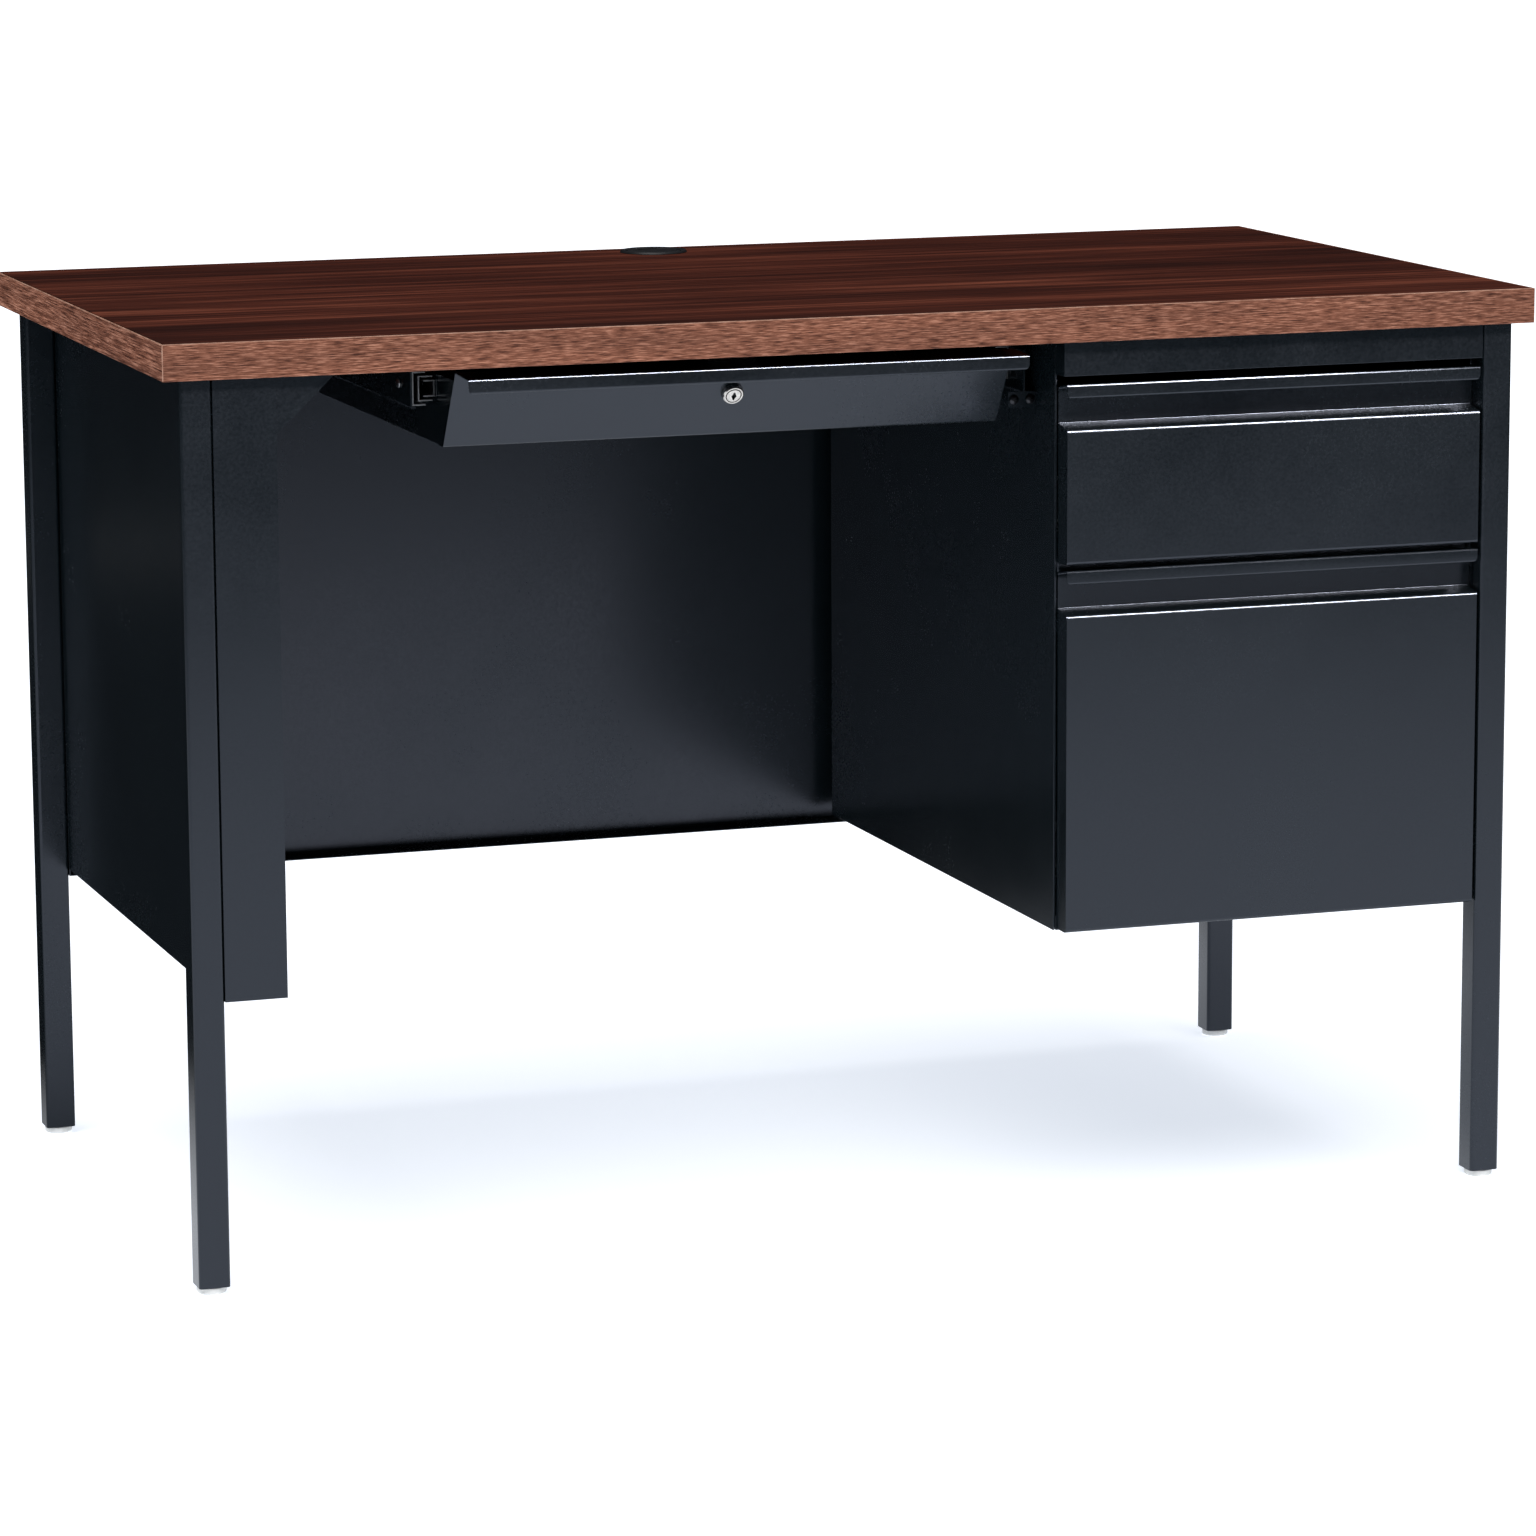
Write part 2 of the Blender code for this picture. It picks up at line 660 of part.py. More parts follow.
def make_slide_pair(drawer, slide, height, outer_faces, moving, middle):
    """Two three-part ball-bearing slides, each a nest of three channels."""
    half = slide["height"] / 2
    depth = slide["depth"]
    members = {"outer": OUTER_CHANNEL, "middle": MIDDLE_CHANNEL, "inner": INNER_CHANNEL}
    parents = {"outer": None, "middle": middle, "inner": moving}
    for side, face, inward in outer_faces:
        for nested, (member, (web_share, tip_share)) in enumerate(members.items()):
            reach = half - nested * (SLIDE_SHEET + BALL_GAP)
            face_of_web = depth * web_share
            tip = depth * tip_share
            toward_tip = SLIDE_SHEET if face_of_web < tip else -SLIDE_SHEET
            back_of_web = face_of_web + toward_tip
            outline = [
                (face_of_web, -reach),
                (tip, -reach),
                (tip, -reach + SLIDE_SHEET),
                (back_of_web, -reach + SLIDE_SHEET),
                (back_of_web, reach - SLIDE_SHEET),
                (tip, reach - SLIDE_SHEET),
                (tip, reach),
                (face_of_web, reach),
            ]
            placed = [(face + inward * a, height + b) for a, b in outline]
            start = slide["front"]
            channel = prism(placed, "Y", start, start + slide["length"])
            add_object(
                f"{drawer}_slide_{side}_{member}", channel, "slide_steel", parents[member]
            )


def make_slides():
    pedestal_faces = (
        ("left", PEDESTAL_LEFT + SLIDE_TO_WALL, 1),
        ("right", PEDESTAL_RIGHT - SLIDE_TO_WALL, -1),
    )
    for drawer, height in (("box", BOX_SLIDE_HEIGHT), ("file", FILE_SLIDE_HEIGHT)):
        moving = bpy.data.objects[f"{drawer}_drawer_rest"]
        middle = make_empty(f"{drawer}_slide_rest", moving.location)
        make_slide_pair(drawer, DRAWER_SLIDE, height, pedestal_faces, moving, middle)
    moving = bpy.data.objects["keyboard_tray_rest"]
    middle = make_empty("tray_slide_rest", moving.location)
    tray_faces = (
        ("left", TRAY_LEFT - FIT - TRAY_SLIDE["depth"], 1),
        ("right", TRAY_RIGHT + FIT + TRAY_SLIDE["depth"], -1),
    )
    make_slide_pair("tray", TRAY_SLIDE, TRAY_SLIDE_HEIGHT, tray_faces, moving, middle)


def tray_slope():
    """The slope's unit direction down the front, and its outward normal."""
    top = Vector((0, *TRAY_FLANGE_BACK))
    foot = Vector((0, *TRAY_SLOPE_FOOT))
    down = (foot - top).normalized()
    outward = Vector((0, down.z, -down.y))
    return top, foot, down, outward


def make_keyboard_tray():
    middle = (TRAY_LEFT + TRAY_RIGHT) / 2
    tray = make_empty("keyboard_tray_rest", Vector((middle, FACE, TRAY_SLIDE_HEIGHT)))
    lip_bottom = TRAY_LIP_TOP - LIP_HEIGHT
    rear = TRAY_BODY_FRONT - FIT
    outline = bent_strip(
        [
            (FACE + LIP_HEM, lip_bottom),
            (FACE, lip_bottom),
            (FACE, TRAY_LIP_TOP),
            TRAY_FLANGE_BACK,
            TRAY_SLOPE_FOOT,
            (rear, TRAY_SLOPE_FOOT[1]),
        ],
        SHEET,
    )
    front = add_object(
        "tray_front", prism(outline, "X", TRAY_LEFT, TRAY_RIGHT), "steel_enamel", tray
    )
    for low, high in ((TRAY_LEFT, TRAY_LEFT + SHEET), (TRAY_RIGHT - SHEET, TRAY_RIGHT)):
        top_y, top_z = TRAY_FLANGE_BACK
        foot_y, foot_z = TRAY_SLOPE_FOOT
        share = (TRAY_BODY_TOP - foot_z) / (top_z - foot_z)
        cheek = prism(
            [
                (foot_y, foot_z - SHEET / 2),
                (foot_y + (top_y - foot_y) * share, TRAY_BODY_TOP),
                (rear, TRAY_BODY_TOP),
                (rear, foot_z - SHEET / 2),
            ],
            "X",
            low,
            high,
        )
        combine(front, add_object("cheek", cheek, "steel_enamel"), "UNION")
    round_lip_corners(front, TRAY_LEFT, TRAY_RIGHT, lip_bottom)
    body = pan(
        (TRAY_LEFT, TRAY_BODY_FRONT, TRAY_SLOPE_FOOT[1] - SHEET),
        (TRAY_RIGHT, TRAY_BODY_BACK, TRAY_BODY_TOP),
        "+Z",
        SHEET,
    )
    add_object("keyboard_tray", body, "steel_enamel", tray)
    return front


def make_lock(front):
    """The lock sits square to the sloping front. Its parts are modelled about Z, which points outward."""
    top, foot, down, outward = tray_slope()
    place = top.lerp(foot, LOCK_ALONG_SLOPE) + outward * SHEET
    place.x = (TRAY_LEFT + TRAY_RIGHT) / 2
    facing = Matrix(((1, 0, 0), (0, -down.y, outward.y), (0, -down.z, outward.z)))
    axis = make_empty("lock_axis", place, facing)
    hole = turned(
        [
            (0, -HEAVY_SHEET * 4),
            (LOCK_RADIUS + FIT, -HEAVY_SHEET * 4),
            (LOCK_RADIUS + FIT, HEAVY_SHEET * 2),
            (0, HEAVY_SHEET * 2),
        ],
        32,
    )
    cutter = add_object("lock_hole", hole, "steel_enamel", axis)
    combine(front, cutter, "DIFFERENCE")
    bore = LOCK_PLUG_RADIUS + FIT
    barrel = turned(
        [
            (bore, -LOCK_LENGTH),
            (LOCK_RADIUS, -LOCK_LENGTH),
            (LOCK_RADIUS, LOCK_PROUD - SHEET),
            (LOCK_RADIUS - SHEET, LOCK_PROUD),
            (bore + SHEET / 2, LOCK_PROUD),
            (bore, LOCK_PROUD - SHEET / 2),
        ],
        32,
        closed=True,
    )
    add_object("lock_barrel", barrel, "nickel", axis, smooth=True)
    plug = turned(
        [
            (0, -LOCK_LENGTH - FIT),
            (LOCK_PLUG_RADIUS, -LOCK_LENGTH - FIT),
            (LOCK_PLUG_RADIUS, LOCK_PROUD),
            (LOCK_PLUG_RADIUS - SHEET, LOCK_PROUD + SHEET / 2),
            (0, LOCK_PROUD + SHEET / 2),
        ],
        24,
    )
    plug = add_object("lock_plug", plug, "nickel", axis, smooth=True)
    keyway = block(
        (-KEYWAY_HALF_WIDTH, -KEYWAY_HALF_HEIGHT, LOCK_PROUD - LOCK_RADIUS),
        (KEYWAY_HALF_WIDTH, KEYWAY_HALF_HEIGHT, LOCK_PROUD + SHEET),
    )
    combine(plug, add_object("keyway", keyway, "nickel", axis), "DIFFERENCE")
    outline = []
    for middle, turn in ((CAM_REACH - CAM_HALF_WIDTH, -90), (0, 90)):
        for step in range(7):
            angle = math.radians(turn + step * 30)
            outline.append(
                (
                    middle + CAM_HALF_WIDTH * math.cos(angle),
                    CAM_HALF_WIDTH * math.sin(angle),
                )
            )
    near = -LOCK_LENGTH - 2 * FIT
    cam = prism(outline, "Z", near - CAM_THICKNESS, near)
    add_object("lock_cam", cam, "slide_steel", axis)
    strike_outline = [
        (STRIKE_FACE, FRAME_TOP),
        (STRIKE_FACE, STRIKE_BOTTOM),
        (STRIKE_FACE - HEAVY_SHEET, STRIKE_BOTTOM),
        (STRIKE_FACE - HEAVY_SHEET, FRAME_TOP - HEAVY_SHEET),
        (STRIKE_FACE - HEAVY_SHEET - GUSSET_FLANGE, FRAME_TOP - HEAVY_SHEET),
        (STRIKE_FACE - HEAVY_SHEET - GUSSET_FLANGE, FRAME_TOP),
    ]
    strike = prism(
        strike_outline, "X", place.x - STRIKE_WIDTH / 2, place.x + STRIKE_WIDTH / 2
    )
    add_object("lock_strike", strike, "slide_steel")


def make_brackets():
    slide_depth = TRAY_SLIDE["depth"]
    web = TRAY_LEFT - 2 * FIT - slide_depth
    front = TRAY_SLIDE["front"] - FIT * 3
    left = bent_strip(
        [
            (web - HEAVY_SHEET + LEFT_BRACKET_FOOT, LEFT_BRACKET_BOTTOM),
            (web - HEAVY_SHEET, LEFT_BRACKET_BOTTOM),
            (web - HEAVY_SHEET, FRAME_TOP - HEAVY_SHEET),
            (web - HEAVY_SHEET - LEFT_BRACKET_HEAD, FRAME_TOP - HEAVY_SHEET),
        ],
        HEAVY_SHEET,
    )
    shape = prism(left, "Y", front, front + BRACKET_LENGTH)
    add_object("tray_bracket_left", shape, "steel_enamel")

    web = TRAY_RIGHT + 2 * FIT + slide_depth
    wall = PEDESTAL_LEFT - FIT
    top = TRAY_SLIDE_HEIGHT + TRAY_SLIDE["height"] / 2
    right = bent_strip(
        [
            (web, top),
            (web, RIGHT_BRACKET_SHELF - HEAVY_SHEET),
            (wall - HEAVY_SHEET, RIGHT_BRACKET_SHELF - HEAVY_SHEET),
            (wall - HEAVY_SHEET, RIGHT_BRACKET_SHELF - RIGHT_BRACKET_DROP),
        ],
        -HEAVY_SHEET,
    )
    shape = prism(right, "Y", RIGHT_BRACKET_FRONT, RIGHT_BRACKET_FRONT + BRACKET_LENGTH)
    bracket = add_object("tray_bracket_right", shape, "steel_enamel")
    tab = block(
        (wall - RIGHT_TAB_WIDTH, RIGHT_BRACKET_FRONT, RIGHT_BRACKET_SHELF - RIGHT_TAB_HEIGHT),
        (wall, RIGHT_BRACKET_FRONT + HEAVY_SHEET, RIGHT_BRACKET_SHELF),
    )
    combine(bracket, add_object("front_tab", tab, "steel_enamel"), "UNION")


def make_screws():
    head = [(SCREW_RADIUS * across, SCREW_HEAD * up) for across, up in SCREW_PROFILE]
    left_web = TRAY_LEFT - 3 * FIT - TRAY_SLIDE["depth"] - HEAVY_SHEET
    facing_left = Matrix.Rotation(-math.pi / 2, 3, "Y")
    facing_front = Matrix.Rotation(math.pi / 2, 3, "X")
    spots = {"bracket_screw_left": ((left_web, *LEFT_SCREW_SPOT), facing_left)}
    tab_middle = RIGHT_BRACKET_SHELF - RIGHT_TAB_HEIGHT / 2
    for which, inset in RIGHT_SCREW_INSETS.items():
        spot = (PEDESTAL_LEFT - FIT - inset, RIGHT_BRACKET_FRONT - FIT, tab_middle)
        spots[f"bracket_screw_right_{which}"] = (spot, facing_front)
    for name, (place, facing) in spots.items():
        shape = turned(head, 16)
        matrix = Matrix.Translation(place) @ facing.to_4x4()
        bmesh.ops.transform(shape, matrix=matrix, verts=shape.verts)
        add_object(name, shape, "slide_steel", smooth=True)


clear_scene()
make_materials()
make_top()
make_legs()
make_end_panel()
make_modesty_panel()
make_pedestal()
make_drawers()
tray_front = make_keyboard_tray()
make_lock(tray_front)
make_slides()
make_brackets()
make_screws()
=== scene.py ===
"""Looks of a steel computer desk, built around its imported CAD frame.

+X runs to the sitter's right, +Y to the back and +Z up, in metres. Each CAD node is stood for by a
copy with rounded edges and a procedural material. The slides get balls, cages, slots and rivets, the
screws a cross recess and the lock a keyhole.
"""

import json
import math

import bmesh
import bpy
from mathutils import Matrix, Vector

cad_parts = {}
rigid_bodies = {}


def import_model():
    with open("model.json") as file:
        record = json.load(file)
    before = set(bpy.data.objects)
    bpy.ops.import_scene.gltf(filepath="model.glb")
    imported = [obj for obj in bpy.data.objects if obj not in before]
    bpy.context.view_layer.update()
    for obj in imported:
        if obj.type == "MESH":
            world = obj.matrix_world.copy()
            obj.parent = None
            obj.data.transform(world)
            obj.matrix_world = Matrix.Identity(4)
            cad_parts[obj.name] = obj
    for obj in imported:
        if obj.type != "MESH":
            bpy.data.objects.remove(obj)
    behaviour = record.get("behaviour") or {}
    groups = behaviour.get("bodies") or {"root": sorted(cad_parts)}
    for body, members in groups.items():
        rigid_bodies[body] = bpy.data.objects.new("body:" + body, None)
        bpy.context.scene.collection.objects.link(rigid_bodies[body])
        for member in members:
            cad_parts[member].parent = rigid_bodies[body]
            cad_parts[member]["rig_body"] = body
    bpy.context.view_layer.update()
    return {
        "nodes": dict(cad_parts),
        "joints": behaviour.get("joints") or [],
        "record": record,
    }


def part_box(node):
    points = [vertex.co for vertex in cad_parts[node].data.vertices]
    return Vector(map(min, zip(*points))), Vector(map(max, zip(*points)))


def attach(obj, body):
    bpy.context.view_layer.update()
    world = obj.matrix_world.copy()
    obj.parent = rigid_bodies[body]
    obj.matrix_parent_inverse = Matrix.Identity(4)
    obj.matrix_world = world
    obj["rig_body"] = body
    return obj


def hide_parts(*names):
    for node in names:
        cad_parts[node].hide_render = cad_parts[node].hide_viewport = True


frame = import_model()

# Camera
CAMERA_PLACE = (-1.5974, -4.7082, 1.2426)
CAMERA_AZIMUTH = -18.883
CAMERA_ELEVATION = 10.351
CAMERA_ROLL = -0.302
CAMERA_LENS = 139.7
CAMERA_SENSOR = 36

# Copies of the CAD nodes
MERGE_DISTANCE = 5e-6
FLAT_ANGLE = math.radians(0.4)

# Rounding of edges
SHEET_ROUNDING = 0.00032
BAND_ROUNDING = 0.0009
BEND_ROUNDING = 0.0018
TIGHT_BEND_ROUNDING = 0.0004
BEND_FACE_WIDTH = 0.0035
BEND_SEGMENTS = 3
EDGE_SEGMENTS = 2
SLIDE_ROUNDING = 0.00020
NYLON_ROUNDING = 0.00080
BOARD_ROUNDING = 0.00015
SHARP_ANGLE = math.radians(38)

# The ways to round a steel node: the rounding of its bends, and whether its faces are made convex
ROUNDING_WAYS = (
    (BEND_ROUNDING, False),
    (BEND_ROUNDING, True),
    (BEND_ROUNDING / 2, False),
    (BEND_ROUNDING / 2, True),
    (TIGHT_BEND_ROUNDING, False),
    (TIGHT_BEND_ROUNDING, True),
    (0.0, False),
    (0.0, True),
)
PLAIN_WAY = ((0.0, False),)
SPILL_LIMIT = 2e-6

# Which faces of the edge band are arrises with a painted highlight (those not facing down), and which
# carry grain along Y
ARRIS_HIGHLIGHT_TILT = 0.97
ARRIS_HIGHLIGHT_LEAST_Z = -0.1
SIDE_TILT = 0.5

# Slides
SLIDE_SHEET = 0.0012
BALL_RADIUS = 0.00105
BALL_PITCH = 0.0120
BALL_ROWS_SHARE = 0.46
FRONT_ROW_SHARE = 0.02
CAGE_SHEET = 0.0004
CAGE_WIDTH = 0.0030
# Each slot's place, as a share of the channel's length, and its straight length
SLOT_ROW = ((0.06, 0.0), (0.16, 0.0090), (0.34, 0.0), (0.44, 0.0090), (0.66, 0.0), (0.84, 0.0090))
SLOT_RADIUS = 0.0023
SLOT_THROUGH = 0.05
SLOT_SEGMENTS = 20
RIVET_SHARES = (0.10, 0.52, 0.93)
RIVET_RADIUS = 0.0036
RIVET_RISE = 0.0011
RIVET_SEGMENTS = 20
RIVET_RINGS = 12

# Cross recess of the screw heads
RECESS_WIDTH = 0.0008
RECESS_LENGTH = 0.0046
RECESS_DEPTH = 0.0013

# Keyhole of the lock, and the depths between which its keyway gets painted shade
KEYHOLE_HALF_WIDTH = 0.0022
KEYHOLE_HALF_HEIGHT = 0.0042
KEYHOLE_DEPTH = 0.0014
KEYWAY_SHADE_END = 0.012
KEYWAY_SHADE_START = 0.0003

# Studio
FLOOR_REACH = 40.0
FLOOR_GLOW = 0.75
FLOOR_GLOW_COLOUR = (0.84, 0.90, 1.0, 1.0)
# A centre on the floor, and the distances from it at which the flag is clear and is dark
FLAG_RIM = ((0.0, 0.0), 2.9, 4.1)
FLAG_SPOT = ((-1.3, 2.0), 2.2, 1.6)
FLAG_HEIGHT = 0.004
FLAG_RADIUS = 5.0
FLAG_WALL = 4.0
FLAG_SEGMENTS = 64
FLAG_COLOUR = (0.01, 0.01, 0.012, 1.0)
SKY_COLOUR = (0.93, 0.96, 1.0, 1.0)
SKY_STRENGTH = 0.22
SUN_PLACE = (-1.2, -2.0, 6.0)
SUN_STRENGTH = 2.4
SUN_ANGLE = math.radians(60)
SOFTBOX_PLACE = (0.6, -1.9, 2.3)
SOFTBOX_AIM = (0.6, 0, 0.6)
SOFTBOX_POWER = 750
SOFTBOX_LENGTH = 3.2
SOFTBOX_HEIGHT = 0.40
SOFTBOX_SLOTS = ("steel_enamel", "slide_steel")


# ---------------------------------------------------------------- materials


class Recipe:
    """A Principled material and short ways to add nodes to it."""

    def __init__(self, name):
        self.material = bpy.data.materials.new(name)
        self.material.use_nodes = True
        self.tree = self.material.node_tree
        self.shader = self.tree.nodes["Principled BSDF"]
        self.place = self.add("ShaderNodeTexCoord").outputs["Object"]

    def add(self, kind, settings=None, inputs=None):
        node = self.tree.nodes.new(kind)
        for name, value in (settings or {}).items():
            setattr(node, name, value)
        for name, value in (inputs or {}).items():
            self.fill(node.inputs[name], value)
        return node

    def fill(self, socket, value):
        if isinstance(value, bpy.types.NodeSocket):
            self.tree.links.new(value, socket)
        else:
            socket.default_value = value

    def scaled(self, scale, shift=(0, 0, 0)):
        """The place, stretched: a pattern on it has this many features a metre on each axis."""
        inputs = {"Vector": self.place, "Scale": scale, "Location": shift}
        return self.add("ShaderNodeMapping", inputs=inputs).outputs["Vector"]

    def noise(self, vector, detail=2.0, roughness=0.5, distortion=0.0):
        inputs = {
            "Vector": vector,
            "Scale": 1.0,
            "Detail": detail,
            "Roughness": roughness,
            "Distortion": distortion,
        }
        return self.add("ShaderNodeTexNoise", inputs=inputs).outputs["Fac"]

    def ramp(self, factor, stops):
        node = self.add("ShaderNodeValToRGB", inputs={"Fac": factor})
        elements = node.color_ramp.elements
        while len(elements) < len(stops):
            elements.new(0.5)
        for element, (position, colour) in zip(elements, stops):
            element.position = position
            element.color = (*colour, 1.0)
        return node.outputs["Color"]

    def spread(self, factor, low, high, start=0.3, end=0.7):
        """The factor from start to end, mapped to values from low to high."""
        inputs = {
            "Value": factor,
            "From Min": start,
            "From Max": end,
            "To Min": low,
            "To Max": high,
        }
        return self.add("ShaderNodeMapRange", inputs=inputs).outputs["Result"]

    def maths(self, operation, first, second):
        node = self.add("ShaderNodeMath", {"operation": operation})
        self.fill(node.inputs[0], first)
        self.fill(node.inputs[1], second)
        return node.outputs["Value"]

    def blend(self, factor, first, second, blend_type="MIX"):
        node = self.add("ShaderNodeMix", {"data_type": "RGBA", "blend_type": blend_type})
        self.fill(node.inputs["Factor"], factor)
        self.fill(node.inputs["A"], first)
        self.fill(node.inputs["B"], second)
        return node.outputs["Result"]

    def bump(self, height, strength, distance):
        inputs = {"Height": height, "Strength": strength, "Distance": distance}
        normal = self.add("ShaderNodeBump", inputs=inputs).outputs["Normal"]
        self.fill(self.shader.inputs["Normal"], normal)

    def finish(self, colour, roughness, **constants):
        self.fill(self.shader.inputs["Base Color"], colour)
        self.fill(self.shader.inputs["Roughness"], roughness)
        for name, value in constants.items():
            self.shader.inputs[name.replace("_", " ")].default_value = value
        return self.material


def make_enamel():
    """Blue-black baked enamel: satin, with a fine orange peel and faint cloudy patches."""
    recipe = Recipe("steel_enamel_finish")
    clouds = recipe.noise(recipe.scaled((5, 5, 5)), detail=4, roughness=0.6)
    specks = recipe.noise(recipe.scaled((420, 420, 420)), detail=2)
    peel = recipe.noise(recipe.scaled((620, 620, 620)), detail=3, roughness=0.6)
    tone = recipe.ramp(clouds, [(0.3, (0.0022, 0.0050, 0.0066)), (0.7, (0.0036, 0.0072, 0.0092))])
    speckled = recipe.ramp(specks, [(0.35, (0.0, 0.0, 0.0)), (0.72, (1.0, 1.0, 1.0))])
    colour = recipe.blend(0.10, tone, recipe.blend(1.0, tone, speckled, "MULTIPLY"))
    roughness = recipe.maths(
        "ADD", recipe.spread(clouds, 0.20, 0.27), recipe.spread(specks, -0.02, 0.03)
    )
    recipe.bump(peel, 0.10, 0.00012)
    return recipe.finish(
        colour, roughness, Specular_IOR_Level=0.50, Specular_Tint=(0.79, 0.84, 1.0, 1.0)
    )


def make_laminate():
    """Dark mahogany laminate with streaks and pores that run along X."""
    recipe = Recipe("laminate_finish")
    bands = recipe.noise(recipe.scaled((0.9, 9, 9)), detail=4, roughness=0.55, distortion=0.6)
    streaks = recipe.noise(
        recipe.scaled((2.6, 95, 95), (3, 0, 0)), detail=5, roughness=0.62, distortion=0.25
    )
    threads = recipe.noise(recipe.scaled((9, 420, 420), (0, 5, 0)), detail=3, roughness=0.6)
    pores = recipe.noise(recipe.scaled((70, 900, 900), (7, 0, 0)), detail=1)
    broad = recipe.maths("MULTIPLY", bands, 0.55)
    fine = recipe.maths("MULTIPLY", streaks, 0.45)
    figure = recipe.maths("ADD", broad, fine)
    wood = recipe.ramp(
        figure,
        [
            (0.34, (0.0190, 0.0042, 0.0023)),
            (0.46, (0.0430, 0.0092, 0.0048)),
            (0.54, (0.0850, 0.0195, 0.0102)),
            (0.64, (0.2000, 0.0560, 0.0300)),
        ],
    )
    lines = recipe.ramp(threads, [(0.36, (0.52, 0.50, 0.50)), (0.64, (1.40, 1.40, 1.40))])
    colour = recipe.blend(0.95, wood, recipe.blend(1.0, wood, lines, "MULTIPLY"))
    pitted = recipe.ramp(pores, [(0.62, (1.0, 1.0, 1.0)), (0.74, (0.45, 0.42, 0.42))])
    colour = recipe.blend(0.7, colour, recipe.blend(1.0, colour, pitted, "MULTIPLY"))
    roughness = recipe.spread(streaks, 0.44, 0.54)
    recipe.bump(threads, 0.12, 0.00010)
    return recipe.finish(colour, roughness, Specular_IOR_Level=0.09)


def make_band(name, along):
    """Lighter red-brown edge banding, with short fine dashes of grain along one axis."""
    recipe = Recipe(name)

    def grain(length, height, shift):
        scale = (length, height, height) if along == "X" else (height, length, height)
        return recipe.scaled(scale, shift)

    tone = recipe.noise(grain(5, 60, (0, 0, 4)), detail=3, roughness=0.6)
    length = 70 if along == "X" else 32
    dashes = recipe.noise(grain(length, 1050, (2, 0, 0)), detail=3, roughness=0.62, distortion=0.15)
    flecks = recipe.noise(grain(230, 1700, (0, 9, 0)), detail=2, roughness=0.5)
    wood = recipe.ramp(
        dashes,
        [
            (0.34, (0.062, 0.020, 0.012)),
            (0.46, (0.185, 0.067, 0.038)),
            (0.55, (0.290, 0.116, 0.070)),
            (0.66, (0.490, 0.230, 0.150)),
        ],
    )
    shade = recipe.ramp(tone, [(0.35, (0.80, 0.78, 0.78)), (0.65, (1.12, 1.10, 1.08))])
    colour = recipe.blend(1.0, wood, shade, "MULTIPLY")
    dark = recipe.ramp(flecks, [(0.60, (1.0, 1.0, 1.0)), (0.72, (0.55, 0.50, 0.48))])
    colour = recipe.blend(0.6, colour, recipe.blend(1.0, colour, dark, "MULTIPLY"))
    recipe.bump(dashes, 0.18, 0.00012)
    return recipe.finish(colour, recipe.spread(dashes, 0.36, 0.48), Specular_IOR_Level=0.18)


def make_arris_highlight():
    """The arrises of the banding in a paler colour: a painted highlight."""
    recipe = Recipe("edge_band_arris_painted_highlight")
    arris_variation = recipe.noise(recipe.scaled((90, 90, 90)), detail=4, roughness=0.6)
    # The paler ramp is a painted highlight, varied at random along the arris.
    colour = recipe.ramp(arris_variation, [(0.35, (0.300, 0.140, 0.090)), (0.65, (0.520, 0.300, 0.215))])
    recipe.bump(arris_variation, 0.10, 0.00010)
    return recipe.finish(colour, recipe.spread(arris_variation, 0.38, 0.50), Specular_IOR_Level=0.30)


def make_metal(name, dark, light, roughness, brushing, strength):
    """Plated metal with fine drawing lines and small changes of tone."""
    recipe = Recipe(name)
    lines = recipe.noise(recipe.scaled(brushing), detail=3, roughness=0.6)
    clouds = recipe.noise(recipe.scaled((60, 60, 60)), detail=3, roughness=0.6)
    drawn = recipe.maths("MULTIPLY", lines, 0.5)
    cloudy = recipe.maths("MULTIPLY", clouds, 0.5)
    tone = recipe.maths("ADD", drawn, cloudy)
    colour = recipe.ramp(tone, [(0.35, dark), (0.65, light)])
    recipe.bump(lines, strength, 0.00006)
    low, high = roughness
    return recipe.finish(colour, recipe.spread(tone, low, high), Metallic=1.0)


def make_nylon():
    """White moulded nylon, slightly cloudy."""
    recipe = Recipe("white_nylon_finish")
    clouds = recipe.noise(recipe.scaled((140, 140, 140)), detail=3, roughness=0.6)
    grain = recipe.noise(recipe.scaled((1500, 1500, 1500)), detail=2)
    colour = recipe.ramp(clouds, [(0.35, (0.74, 0.74, 0.71)), (0.65, (0.86, 0.86, 0.84))])
    recipe.bump(grain, 0.10, 0.00008)
    return recipe.finish(colour, recipe.spread(clouds, 0.34, 0.46))


def make_plastic():
    """Moulded black plastic with a fine spark-eroded grain."""
    recipe = Recipe("black_plastic_finish")
    grain = recipe.noise(recipe.scaled((1900, 1900, 1900)), detail=3, roughness=0.65)
    clouds = recipe.noise(recipe.scaled((55, 55, 55)), detail=2)
    colour = recipe.ramp(clouds, [(0.35, (0.010, 0.010, 0.011)), (0.65, (0.018, 0.018, 0.020))])
    recipe.bump(grain, 0.22, 0.00010)
    return recipe.finish(colour, recipe.spread(grain, 0.34, 0.46), Specular_IOR_Level=0.30)


